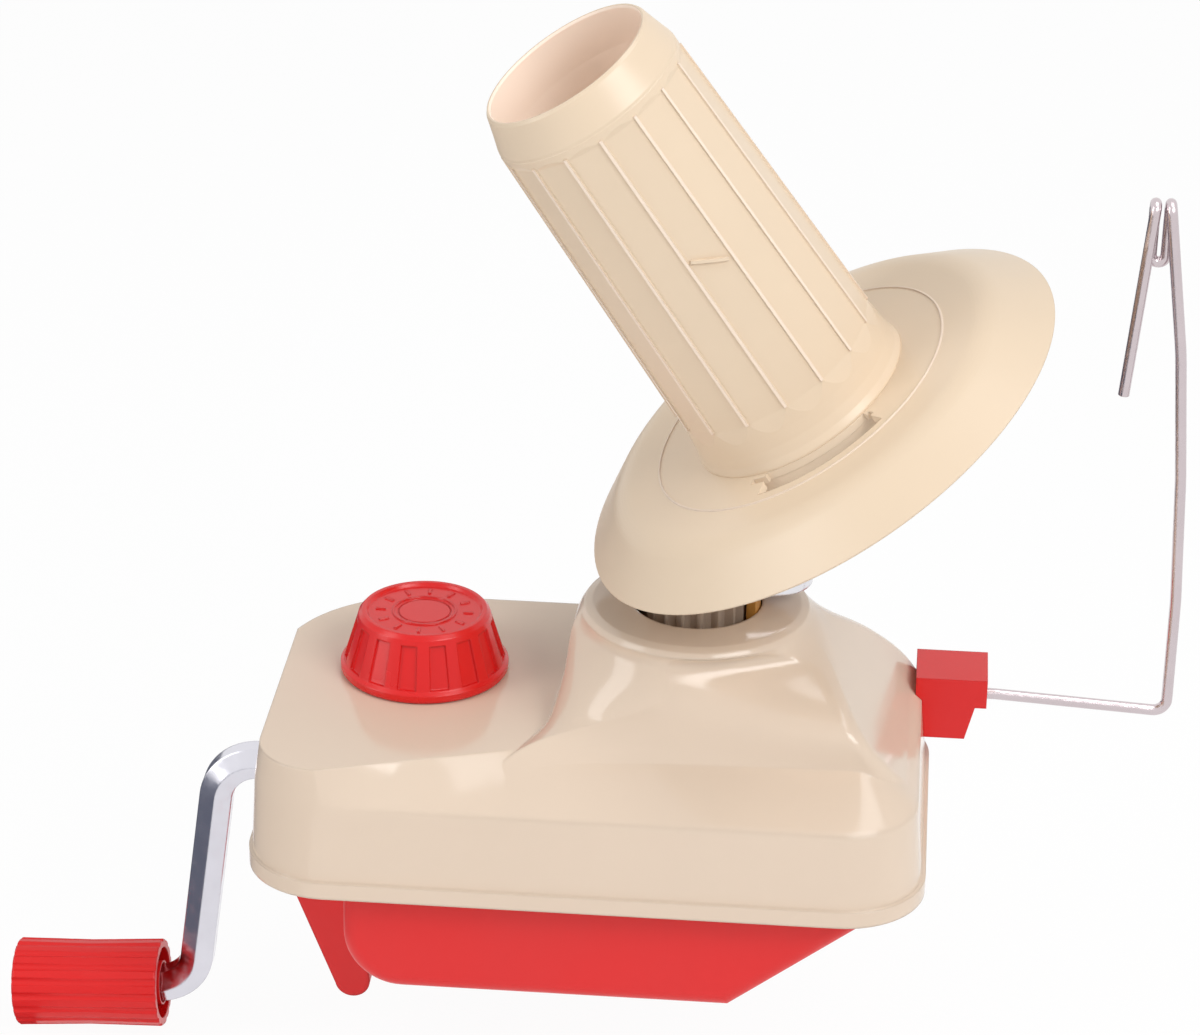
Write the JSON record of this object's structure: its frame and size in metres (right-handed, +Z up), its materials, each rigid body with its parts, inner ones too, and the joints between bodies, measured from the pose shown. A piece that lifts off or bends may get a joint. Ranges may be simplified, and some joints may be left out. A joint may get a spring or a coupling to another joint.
{
  "type": "yarn ball winder",
  "caption": "Hand-cranked yarn ball winder with a tilted winding cone on a disc, a table-edge screw clamp and a folding wire yarn guide.",
  "frame": {"origin": "on the flat underside that sits on the table, at the middle of the housing", "axes": "+Z up from the table, +X from the crank end to the yarn guide end, +Y away from the user's side towards the clamp jaw's leg"},
  "size_m": [0.2835, 0.1236, 0.2729],
  "materials": {
    "cream_plastic": "glossy",
    "red_plastic": "glossy",
    "nylon": "satin",
    "gear_plastic": "satin",
    "chrome_steel": "polished",
    "steel": "brushed",
    "brass": "turned",
    "bronze_bush": "satin",
    "rubber_pad": "matte"
  },
  "bodies": {
    "base": {"upper_housing": "cream_plastic", "base_tray": "red_plastic", "base_screws": "steel", "spindle_post": "steel", "sun_gear": "gear_plastic", "thrust_washer": "steel", "crank_bush": "bronze_bush", "shaft_bracket": "steel", "bracket_bush": "bronze_bush", "bracket_screws": "steel", "guide_block": "red_plastic"},
    "crank": {"crank_rod": "chrome_steel", "crown_gear": "nylon", "gear_pin": "steel", "shaft_clip": "steel", "shaft_washer": "steel", "grip_clip": "steel"},
    "grip": {"crank_grip": "red_plastic"},
    "rotor": {"carrier": "nylon", "arm_plate": "steel", "arm_rivets": "steel", "axle_pin": "steel", "axle_clip": "steel", "axle_washer": "steel", "spacer_washer": "nylon"},
    "bobbin": {"winding_cone": "cream_plastic", "cone_bush": "bronze_bush", "winding_disc": "cream_plastic", "ring_gear": "gear_plastic"},
    "knob": {"clamp_knob": "red_plastic", "knob_insert": "brass", "knob_clip": "steel"},
    "jaw": {"clamp_jaw": "red_plastic", "clamp_bolt": "steel", "jaw_pad": "rubber_pad"},
    "guide": {"guide_wire": "chrome_steel"}
  },
  "joints": [
    {"name": "crank_turn", "type": "hinge", "parent": "base", "child": "crank", "pos_m": [-0.06, 0, 0.0366], "axis": [1, 0, 0], "continuous": true},
    {"name": "grip_spin", "type": "hinge", "parent": "crank", "child": "grip", "pos_m": [-0.12646, 0, -0.02921], "axis": [0.9985, 0, 0.0541], "continuous": true},
    {"name": "rotor_turn", "type": "hinge", "parent": "base", "child": "rotor", "pos_m": [0.023, 0, 0.09], "axis": [0, 0, 1], "continuous": true},
    {"name": "cone_spin", "type": "hinge", "parent": "rotor", "child": "bobbin", "pos_m": [0.023, 0, 0.1709], "axis": [-0.5399, -0.1376, 0.8304], "continuous": true},
    {"name": "knob_turn", "type": "hinge", "parent": "base", "child": "knob", "pos_m": [-0.04295, 0.008, 0.0603], "axis": [0, 0, 1], "range_deg": [-631, 3961]},
    {"name": "jaw_slide", "type": "slide", "parent": "base", "child": "jaw", "axis": [0, 0, -1], "range_m": [-0.0035, 0.022]},
    {"name": "guide_swing", "type": "hinge", "parent": "base", "child": "guide", "pos_m": [0.087, 0.0252, 0.0522], "axis": [1, 0, 0], "range_deg": [-90, 90]}
  ],
  "couplings": [
    {"joint": "rotor_turn", "follows": "crank_turn", "ratio": 4},
    {"joint": "cone_spin", "follows": "crank_turn", "ratio": -1},
    {"joint": "knob_turn", "follows": "jaw_slide", "rad_per_m": 3141.6}
  ]
}
